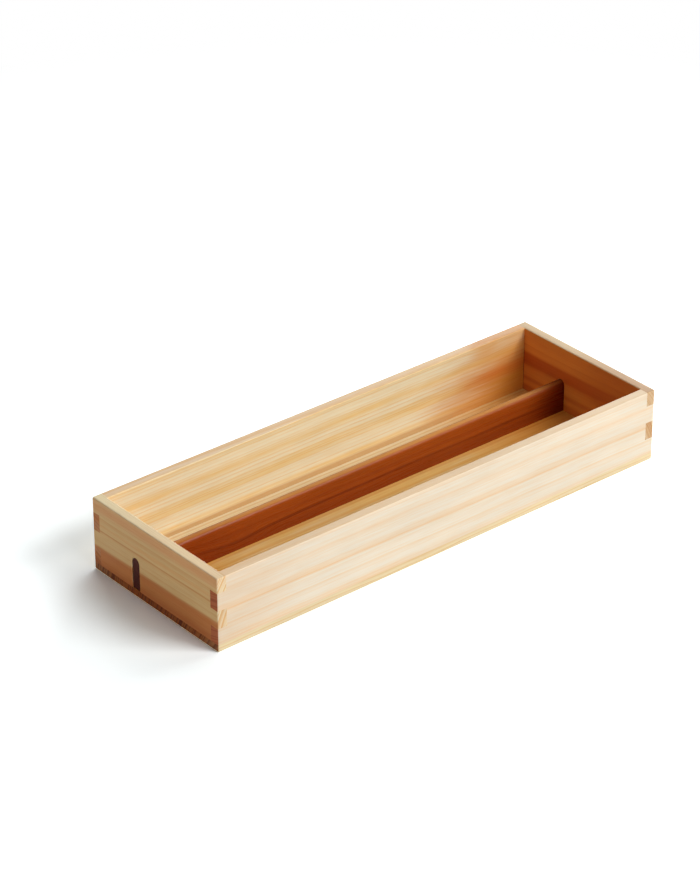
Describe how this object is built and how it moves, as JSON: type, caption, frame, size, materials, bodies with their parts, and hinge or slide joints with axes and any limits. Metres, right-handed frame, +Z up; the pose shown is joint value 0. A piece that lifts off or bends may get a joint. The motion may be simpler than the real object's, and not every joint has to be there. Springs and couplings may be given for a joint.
{
  "type": "open wooden tool tray with sliding divider",
  "caption": "Shallow open softwood tray with finger-jointed corners, a flat planted bottom and a dark round-topped divider that slides out lengthwise through slots in the end walls.",
  "frame": {"origin": "centre of the underside of the bottom board", "axes": "+X along the tray from the slotted left end in the picture to the far end, +Y from the front wall to the back wall, +Z up"},
  "size_m": [0.42, 0.145, 0.06],
  "materials": {
    "front_wall_wood": "planed, unvarnished satin",
    "back_wall_wood": "planed, unvarnished satin",
    "left_end_wood": "planed, unvarnished satin",
    "right_end_wood": "planed, unvarnished satin",
    "bottom_board_wood": "planed, unvarnished satin",
    "divider_hardwood": "oiled satin",
    "pin_wood": "cut end grain, matt"
  },
  "bodies": {
    "tray": {"front_wall": "front_wall_wood", "back_wall": "back_wall_wood", "left_end_wall": "left_end_wood", "right_end_wall": "right_end_wood", "bottom_board": "bottom_board_wood", "bottom_pins": "pin_wood"},
    "divider": {"divider": "divider_hardwood"}
  },
  "joints": [
    {"name": "divider_slide", "type": "slide", "parent": "tray", "child": "divider", "axis": [-1, 0, 0], "range_m": [-0.43, 0.43]}
  ]
}
